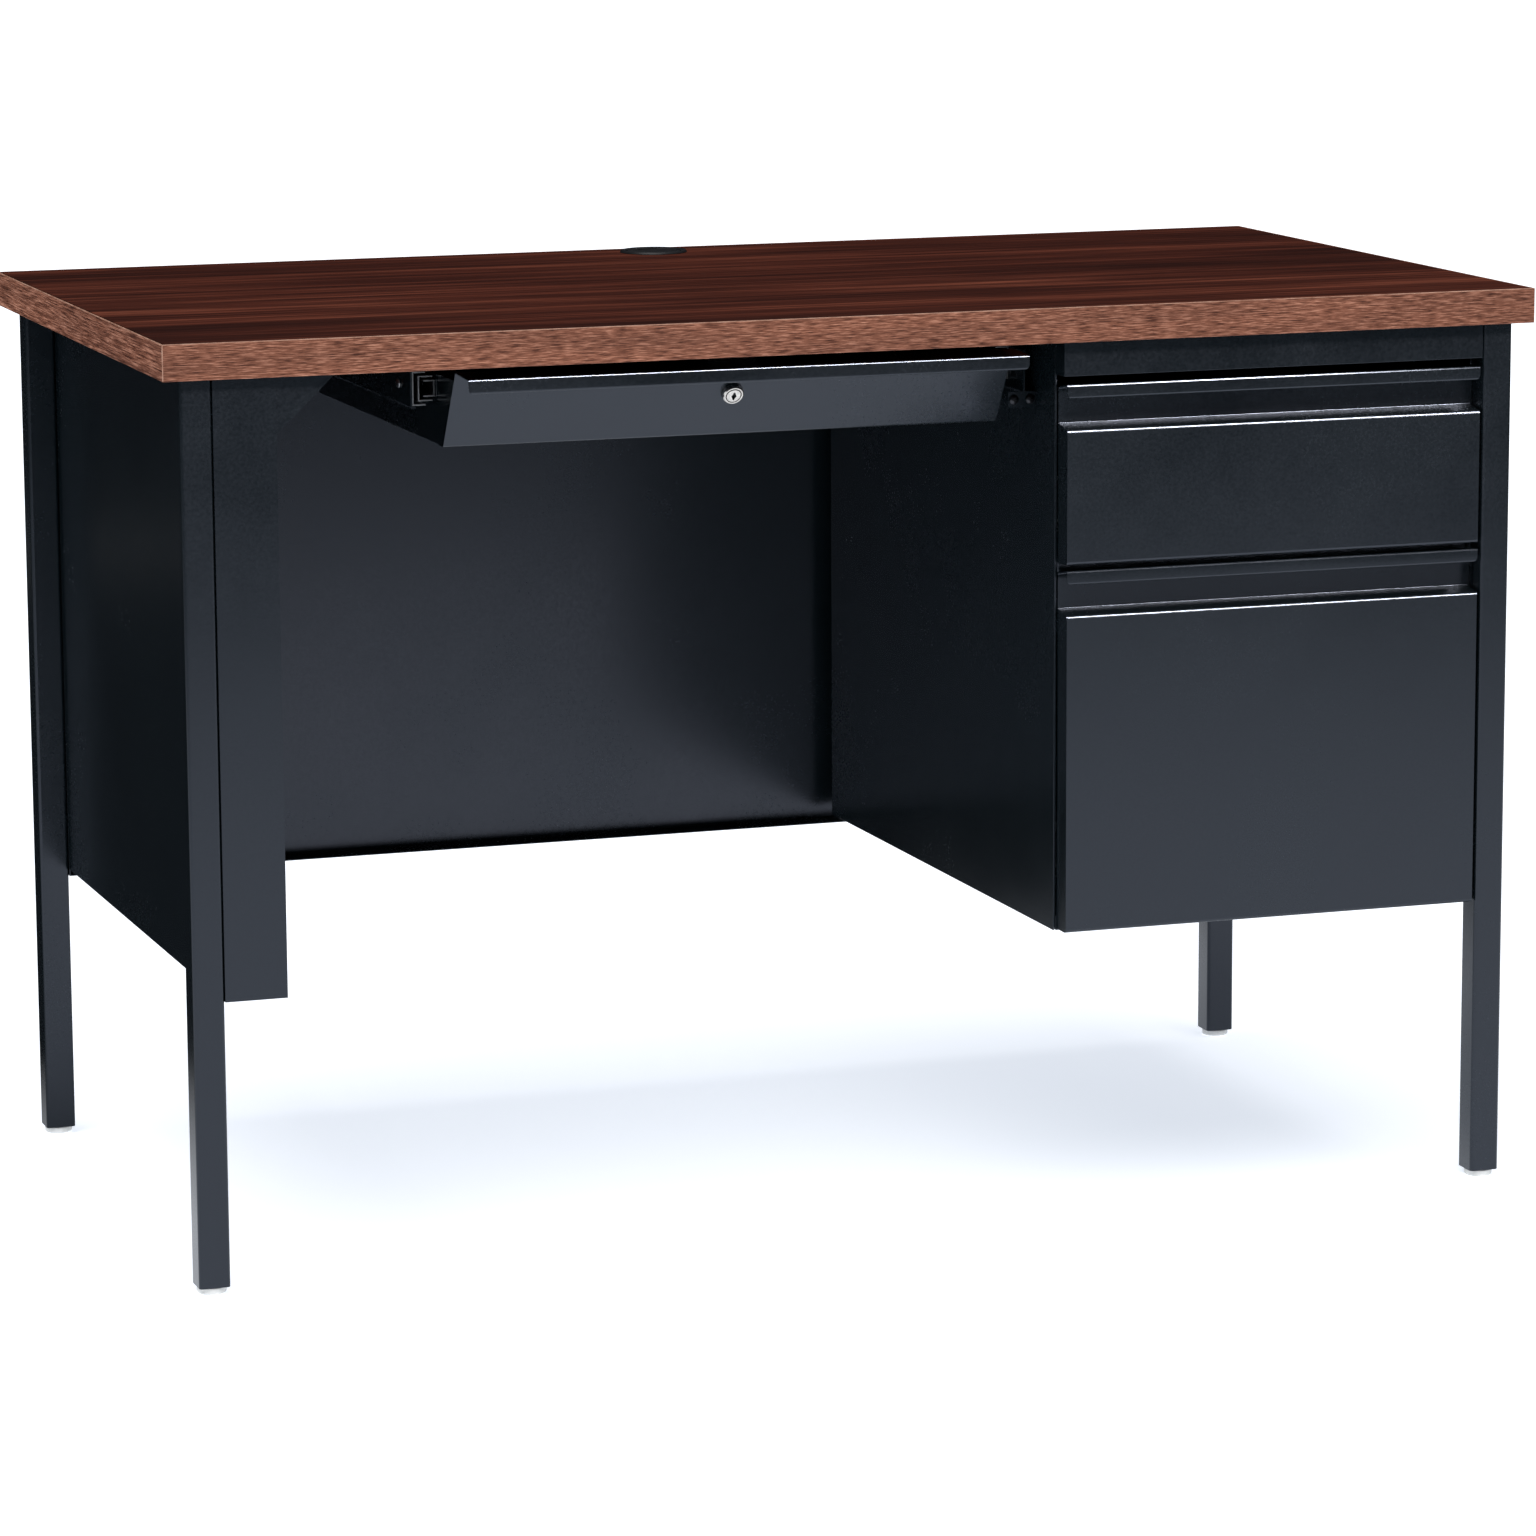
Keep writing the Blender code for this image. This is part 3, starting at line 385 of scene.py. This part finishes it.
FINISHES = {
    "steel_enamel": make_enamel(),
    "laminate": make_laminate(),
    "edge_band": make_band("edge_band_finish", "X"),
    "slide_steel": make_metal(
        "slide_steel_finish",
        dark=(0.22, 0.23, 0.24),
        light=(0.36, 0.37, 0.38),
        roughness=(0.26, 0.38),
        brushing=(900, 12, 900),
        strength=0.10,
    ),
    "nickel": make_metal(
        "nickel_finish",
        dark=(0.40, 0.38, 0.36),
        light=(0.60, 0.58, 0.55),
        roughness=(0.14, 0.26),
        brushing=(700, 700, 700),
        strength=0.05,
    ),
    "white_nylon": make_nylon(),
    "black_plastic": make_plastic(),
}
BAND_ALONG_Y = make_band("edge_band_side_finish", "Y")
# The paler arris finish paints a highlight.
BAND_ARRIS_HIGHLIGHT = make_arris_highlight()
# A near-black metal that paints shade: inside the lock's keyway and on the right bracket's screws.
PAINTED_SHADE_METAL = make_metal(
    "painted_shade_metal_finish",
    dark=(0.020, 0.021, 0.024),
    light=(0.045, 0.047, 0.052),
    roughness=(0.30, 0.42),
    brushing=(700, 700, 700),
    strength=0.08,
)


# ------------------------------------------------------------------- pieces

SLOT_OF = {part["node"]: part["material_slot"] for part in frame["record"]["subparts"]}
BODY_OF = {node: item["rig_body"] for node, item in frame["nodes"].items()}
ROUNDINGS = {
    "steel_enamel": SHEET_ROUNDING,
    "laminate": BOARD_ROUNDING,
    "edge_band": BAND_ROUNDING,
    "slide_steel": SLIDE_ROUNDING,
    "nickel": SLIDE_ROUNDING,
    "white_nylon": NYLON_ROUNDING,
    "black_plastic": SLIDE_ROUNDING,
}


def add_piece(name, shape, slot, body):
    """Turns a bmesh in the row frame into a piece that rides on a body."""
    mesh = bpy.data.meshes.new(name)
    shape.to_mesh(mesh)
    shape.free()
    mesh.materials.append(FINISHES[slot])
    mesh.shade_smooth()
    mesh.set_sharp_from_angle(angle=SHARP_ANGLE)
    piece = bpy.data.objects.new(name, mesh)
    bpy.context.scene.collection.objects.link(piece)
    flat = piece.modifiers.new("flat_faces", "WEIGHTED_NORMAL")
    flat.keep_sharp = True
    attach(piece, body)
    return piece


def clean_copy(node, convex):
    """The node's shape as a bmesh with shared points and flat faces in one piece, or in convex ones."""
    shape = bmesh.new()
    shape.from_mesh(frame["nodes"][node].data)
    bmesh.ops.remove_doubles(shape, verts=shape.verts, dist=MERGE_DISTANCE)
    bmesh.ops.dissolve_limit(shape, angle_limit=FLAT_ANGLE, verts=shape.verts, edges=shape.edges)
    if convex:
        bmesh.ops.connect_verts_concave(shape, faces=shape.faces)
    return shape


def spill(shape):
    """The area by which the triangles of faces that fold over themselves exceed the faces."""
    corners = ([loop.vert.co for loop in loops] for loops in shape.calc_loop_triangles())
    triangles = sum((b - a).cross(c - a).length / 2 for a, b, c in corners)
    return triangles - sum(face.calc_area() for face in shape.faces)


def rounded_copy(node, slot):
    """The node's shape with rounded edges, made in the first way that folds no face over itself."""
    tries = []
    for bend, convex in ROUNDING_WAYS if slot == "steel_enamel" else PLAIN_WAY:
        shape = clean_copy(node, convex)
        if bend:
            round_edges(shape, bend, BEND_FACE_WIDTH, BEND_SEGMENTS)
        round_edges(shape, ROUNDINGS[slot])
        excess = spill(shape)
        tries.append((excess, len(tries), shape))
        if excess < SPILL_LIMIT:
            break
    return min(tries)[2]


def face_width(face):
    """The width of a long face."""
    return 2 * face.calc_area() / face.calc_perimeter()


def round_edges(shape, width, least_face=0.0, segments=EDGE_SEGMENTS):
    """Rounds each sharp edge between two faces that are wide enough."""
    sharp = []
    for edge in shape.edges:
        if not edge.is_manifold or edge.calc_face_angle(0) < SHARP_ANGLE:
            continue
        if min(face_width(face) for face in edge.link_faces) > least_face:
            sharp.append(edge)
    bmesh.ops.bevel(
        shape,
        geom=sharp,
        offset=width,
        segments=segments,
        profile=0.5,
        affect="EDGES",
        clamp_overlap=True,
    )


def make_copies():
    """A rounded copy for each CAD node, with its finish."""
    made = {}
    for node, slot in sorted(SLOT_OF.items()):
        piece = add_piece(f"fine_{node}", rounded_copy(node, slot), slot, BODY_OF[node])
        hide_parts(node)
        made[node] = piece
    return made


def grain_the_sides(piece):
    """The band's short sides carry grain along Y, its long ones along X, and its arrises that don't face
    down get a painted highlight.
    """
    piece.data.materials.append(BAND_ALONG_Y)
    piece.data.materials.append(BAND_ARRIS_HIGHLIGHT)
    for face in piece.data.polygons:
        along = max(abs(part) for part in face.normal)
        # Arrises that don't face down take the paler finish, a painted highlight.
        if along < ARRIS_HIGHLIGHT_TILT and face.normal.z > ARRIS_HIGHLIGHT_LEAST_Z:
            face.material_index = 2
        elif abs(face.normal.x) > abs(face.normal.y) and abs(face.normal.x) > SIDE_TILT:
            face.material_index = 1


def add_box(shape, middle, size):
    """Adds a block to the bmesh."""
    placed = Matrix.Translation(middle) @ Matrix.Diagonal((*size, 1.0))
    bmesh.ops.create_cube(shape, size=1.0, matrix=placed)


def channel_overlap(near, far):
    """The middle of the range of x that both channels cover, and their gap's heights."""
    near_low, near_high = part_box(near)
    far_low, far_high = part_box(far)
    x = (max(near_low[0], far_low[0]) + min(near_high[0], far_high[0])) / 2
    bottom = (near_low[2] + SLIDE_SHEET + far_low[2]) / 2
    top = (near_high[2] - SLIDE_SHEET + far_high[2]) / 2
    return x, (bottom, top)


def make_ball_rows(slide):
    """Rows of balls and their cages, on the middle channel. They stay covered along the whole travel."""
    low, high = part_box(f"{slide}_middle")
    length = high[1] - low[1]
    run = length * BALL_ROWS_SHARE
    balls = bmesh.new()
    cages = bmesh.new()
    rear_start = high[1] - run
    front_start = low[1] + length * FRONT_ROW_SHARE
    rows = (("outer", "middle", rear_start), ("middle", "inner", front_start))
    for near, far, start in rows:
        x, heights = channel_overlap(f"{slide}_{near}", f"{slide}_{far}")
        for z in heights:
            add_box(cages, (x, start + run / 2, z), (CAGE_WIDTH, run, CAGE_SHEET))
            for step in range(int(run / BALL_PITCH)):
                place = (x, start + BALL_PITCH * (step + 0.5), z)
                bmesh.ops.create_icosphere(
                    balls, subdivisions=2, radius=BALL_RADIUS, matrix=Matrix.Translation(place)
                )
    body = BODY_OF[f"{slide}_middle"]
    add_piece(f"balls_{slide}", balls, "nickel", body)
    add_piece(f"cages_{slide}", cages, "slide_steel", body)


def cut(piece, shape):
    """Takes the bmesh's shape away from the piece."""
    mesh = bpy.data.meshes.new("cutter")
    shape.to_mesh(mesh)
    shape.free()
    tool = bpy.data.objects.new("cutter", mesh)
    bpy.context.scene.collection.objects.link(tool)
    boolean = piece.modifiers.new("cut", "BOOLEAN")
    boolean.object = tool
    boolean.operation = "DIFFERENCE"
    boolean.solver = "EXACT"
    boolean.use_self = True
    bpy.context.view_layer.update()
    solid = piece.evaluated_get(bpy.context.evaluated_depsgraph_get())
    carved = bpy.data.meshes.new_from_object(solid)
    piece.modifiers.clear()
    piece.data = carved
    bpy.data.objects.remove(tool)


def cut_recess(node):
    """Cuts a cross recess into a screw head, which faces the low side of its thinnest axis."""
    low, high = (Vector(corner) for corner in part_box(node))
    middle = (low + high) / 2
    size = high - low
    axis = min(range(3), key=lambda index: size[index])
    middle[axis] = low[axis]
    cutter = bmesh.new()
    for long_way in range(3):
        if long_way == axis:
            continue
        bar = [RECESS_WIDTH] * 3
        bar[long_way] = RECESS_LENGTH
        bar[axis] = RECESS_DEPTH * 2
        add_box(cutter, middle, bar)
    cut(pieces[node], cutter)


def cut_slots(node):
    """Cuts a row of rounded slots and round holes through the web of a slide's channel."""
    low, high = (Vector(corner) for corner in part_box(node))
    middle = (low + high) / 2
    length = high.y - low.y
    upright = Matrix.Rotation(math.pi / 2, 4, "Y")
    cutter = bmesh.new()
    for share, reach in SLOT_ROW:
        y = low.y + length * share
        for offset in (-reach / 2, reach / 2) if reach else (0.0,):
            placed = Matrix.Translation((middle.x, y + offset, middle.z)) @ upright
            bmesh.ops.create_cone(
                cutter,
                cap_ends=True,
                segments=SLOT_SEGMENTS,
                radius1=SLOT_RADIUS,
                radius2=SLOT_RADIUS,
                depth=SLOT_THROUGH,
                matrix=placed,
            )
        if reach:
            add_box(cutter, (middle.x, y, middle.z), (SLOT_THROUGH, reach, SLOT_RADIUS * 2))
    cut(pieces[node], cutter)


def add_rivets(slide, side):
    """Low round heads that fasten the inner channel to what it carries."""
    low, high = (Vector(corner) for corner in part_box(f"{slide}_inner"))
    web = high.x - SLIDE_SHEET if side == "left" else low.x + SLIDE_SHEET
    heads = bmesh.new()
    for share in RIVET_SHARES:
        place = (web, low.y + (high.y - low.y) * share, (low.z + high.z) / 2)
        flat = Matrix.Diagonal((RIVET_RISE / RIVET_RADIUS, 1, 1, 1))
        bmesh.ops.create_uvsphere(
            heads,
            u_segments=RIVET_SEGMENTS,
            v_segments=RIVET_RINGS,
            radius=RIVET_RADIUS,
            matrix=Matrix.Translation(place) @ flat,
        )
    add_piece(f"rivets_{slide}", heads, "nickel", BODY_OF[f"{slide}_inner"])


def cut_keyhole(plug):
    """Cuts a diamond-shaped guide round the lock's keyway, and paints shade on what lies inside it with
    a near-black metal.
    """
    joint = next(item for item in frame["joints"] if item["name"] == "lock_turn")
    place = Vector(joint["pos_m"])
    axis = Vector(joint["axis"]).normalized()
    front = max((vertex.co - place).dot(axis) for vertex in plug.data.vertices)
    turned = axis.to_track_quat("Z", "Y").to_matrix().to_4x4()
    size = Matrix.Diagonal((KEYHOLE_HALF_WIDTH, KEYHOLE_HALF_HEIGHT, 1, 1))
    cutter = bmesh.new()
    bmesh.ops.create_cone(
        cutter,
        cap_ends=True,
        segments=4,
        radius1=1,
        radius2=1,
        depth=KEYHOLE_DEPTH * 2,
        matrix=Matrix.Translation(place + axis * front) @ turned @ size,
    )
    cut(plug, cutter)
    plug.data.materials.append(PAINTED_SHADE_METAL)
    for face in plug.data.polygons:
        away = face.center - place
        depth = front - away.dot(axis)
        aside = (away - axis * away.dot(axis)).length
        # Faces inside the keyway take the near-black metal: painted shade.
        if KEYWAY_SHADE_START < depth < KEYWAY_SHADE_END and aside < KEYHOLE_HALF_HEIGHT:
            face.material_index = 1


pieces = make_copies()
grain_the_sides(pieces["edge_band"])
cut_keyhole(pieces["lock_plug"])
for drawer in ("box", "file", "tray"):
    for side in ("left", "right"):
        slide = f"{drawer}_slide_{side}"
        make_ball_rows(slide)
        add_rivets(slide, side)
        for member in ("outer", "middle", "inner"):
            cut_slots(f"{slide}_{member}")
for screw in ("bracket_screw_left", "bracket_screw_right_inner", "bracket_screw_right_outer"):
    cut_recess(screw)
    # The right bracket's screws take the near-black metal as painted shade; the left one keeps its own
    # finish.
    if "right" in screw:
        pieces[screw].data.materials[0] = PAINTED_SHADE_METAL


# -------------------------------------------------------------------- stage


def add_stage(name, shape, material):
    """Turns a bmesh into a thing of the studio, which isn't part of the desk."""
    mesh = bpy.data.meshes.new(name)
    shape.to_mesh(mesh)
    shape.free()
    mesh.materials.append(material)
    thing = bpy.data.objects.new(name, mesh)
    bpy.context.scene.collection.objects.link(thing)
    return thing


def make_floor():
    """A white floor that glows a little, as a lit acrylic table does."""
    recipe = Recipe("floor_finish")
    clouds = recipe.noise(recipe.scaled((0.5, 0.5, 0.5)), detail=2)
    tone = recipe.ramp(clouds, [(0.3, (0.86, 0.86, 0.86)), (0.7, (0.88, 0.88, 0.88))])
    recipe.shader.inputs["Emission Color"].default_value = FLOOR_GLOW_COLOUR
    recipe.finish(tone, 0.8, Emission_Strength=FLOOR_GLOW)
    shape = bmesh.new()
    bmesh.ops.create_grid(shape, x_segments=1, y_segments=1, size=FLOOR_REACH)
    add_stage("floor", shape, recipe.material)


def make_flag():
    """A dark round bowl over the floor, which only reflections see, so that black paint stays black.

    Its bottom is open round the desk but for a dark spot behind the desk's left end.
    """
    material = bpy.data.materials.new("flag_finish")
    material.use_nodes = True
    tree = material.node_tree
    tree.nodes.clear()
    place = tree.nodes.new("ShaderNodeTexCoord").outputs["Object"]
    shades = []
    for centre, start, end in (FLAG_RIM, FLAG_SPOT):
        away = tree.nodes.new("ShaderNodeVectorMath")
        away.operation = "DISTANCE"
        away.inputs[1].default_value = (*centre, FLAG_HEIGHT)
        fade = tree.nodes.new("ShaderNodeMapRange")
        fade.inputs["From Min"].default_value = start
        fade.inputs["From Max"].default_value = end
        tree.links.new(place, away.inputs[0])
        tree.links.new(away.outputs["Value"], fade.inputs["Value"])
        shades.append(fade.outputs["Result"])
    darkest = tree.nodes.new("ShaderNodeMath")
    darkest.operation = "MAXIMUM"
    dark = tree.nodes.new("ShaderNodeBsdfDiffuse")
    dark.inputs["Color"].default_value = FLAG_COLOUR
    clear = tree.nodes.new("ShaderNodeBsdfTransparent")
    mix = tree.nodes.new("ShaderNodeMixShader")
    out = tree.nodes.new("ShaderNodeOutputMaterial")
    tree.links.new(shades[0], darkest.inputs[0])
    tree.links.new(shades[1], darkest.inputs[1])
    tree.links.new(darkest.outputs["Value"], mix.inputs["Fac"])
    tree.links.new(clear.outputs["BSDF"], mix.inputs[1])
    tree.links.new(dark.outputs["BSDF"], mix.inputs[2])
    tree.links.new(mix.outputs["Shader"], out.inputs["Surface"])
    shape = bmesh.new()
    bmesh.ops.create_cone(
        shape,
        cap_ends=True,
        segments=FLAG_SEGMENTS,
        radius1=FLAG_RADIUS,
        radius2=FLAG_RADIUS,
        depth=FLAG_WALL,
    )
    bmesh.ops.translate(shape, verts=shape.verts, vec=(0, 0, FLAG_WALL / 2 + FLAG_HEIGHT))
    lid = [face for face in shape.faces if face.normal.z > 0.5]
    bmesh.ops.delete(shape, geom=lid, context="FACES_ONLY")
    flag = add_stage("flag", shape, material)
    flag.visible_camera = False
    flag.visible_diffuse = False
    flag.visible_shadow = False
    flag.visible_transmission = False


def make_light(name, kind, place, aim, energy, **settings):
    """A light of a kind, turned from its place to what it aims at."""
    data = bpy.data.lights.new(name, kind)
    data.energy = energy
    for key, value in settings.items():
        setattr(data, key, value)
    light = bpy.data.objects.new(name, data)
    light.location = place
    light.rotation_mode = "QUATERNION"
    light.rotation_quaternion = (Vector(aim) - Vector(place)).to_track_quat("-Z", "Y")
    bpy.context.scene.collection.objects.link(light)
    return light


def make_world():
    """A faint even light from all round."""
    world = bpy.data.worlds.new("studio")
    world.use_nodes = True
    background = world.node_tree.nodes["Background"]
    background.inputs["Color"].default_value = SKY_COLOUR
    background.inputs["Strength"].default_value = SKY_STRENGTH
    bpy.context.scene.world = world


def make_camera():
    """The camera, by its place, its turn round Z from +Y, its tilt down and its roll."""
    azimuth = math.radians(CAMERA_AZIMUTH)
    elevation = math.radians(CAMERA_ELEVATION)
    forward = Vector(
        (
            -math.sin(azimuth) * math.cos(elevation),
            math.cos(azimuth) * math.cos(elevation),
            -math.sin(elevation),
        )
    )
    right = Vector((math.cos(azimuth), math.sin(azimuth), 0))
    right = Matrix.Rotation(-math.radians(CAMERA_ROLL), 3, forward) @ right
    up = right.cross(forward)
    data = bpy.data.cameras.new("camera")
    data.lens = CAMERA_LENS
    data.sensor_width = CAMERA_SENSOR
    camera = bpy.data.objects.new("camera", data)
    turned = Matrix((right, up, -forward)).transposed()
    camera.matrix_world = Matrix.Translation(CAMERA_PLACE) @ turned.to_4x4()
    bpy.context.scene.collection.objects.link(camera)
    bpy.context.scene.camera = camera


make_floor()
make_flag()
make_world()
make_light("sun", "SUN", SUN_PLACE, (0, 0, 0), SUN_STRENGTH, angle=SUN_ANGLE)
softbox = make_light(
    "softbox",
    "AREA",
    SOFTBOX_PLACE,
    SOFTBOX_AIM,
    SOFTBOX_POWER,
    shape="RECTANGLE",
    size=SOFTBOX_LENGTH,
    size_y=SOFTBOX_HEIGHT,
)
softbox.visible_diffuse = False
steel = bpy.data.collections.new("steel")
for node, piece in pieces.items():
    if SLOT_OF[node] in SOFTBOX_SLOTS:
        steel.objects.link(piece)
softbox.light_linking.receiver_collection = steel
make_camera()
bpy.context.scene.view_settings.view_transform = "Standard"
